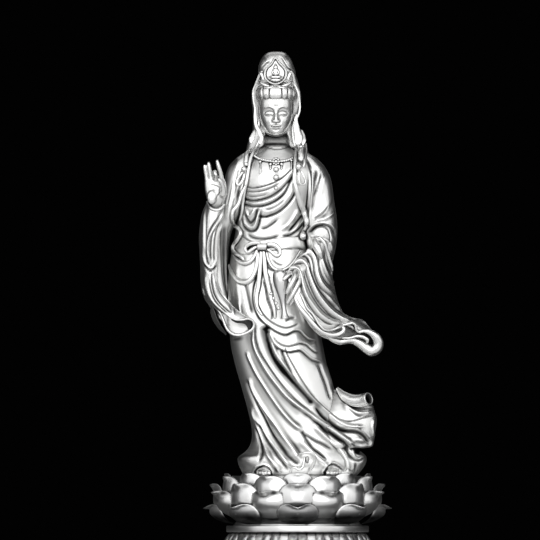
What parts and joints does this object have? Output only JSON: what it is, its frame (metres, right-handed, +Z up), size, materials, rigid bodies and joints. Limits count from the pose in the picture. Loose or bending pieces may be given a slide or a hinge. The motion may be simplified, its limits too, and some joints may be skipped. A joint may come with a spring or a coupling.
{
  "type": "guanyin figure on a lotus seat",
  "caption": "Standing Guanyin in flowing robes with a raised hand and a lowered vase, on a lotus seat over a round footed base, cast in satin silvery metal.",
  "frame": {"origin": "centre of the round base's underside", "axes": "+Z up, the figure faces -Y, +X towards the side of the lowered hand and the blown train"},
  "size_m": [0.243, 0.234, 0.6456],
  "materials": {
    "satin_metal": "satin, bright ridges and dark recesses"
  },
  "bodies": {
    "root": {"figure": "satin_metal", "lotus_seat": "satin_metal", "base": "satin_metal"}
  },
  "joints": []
}
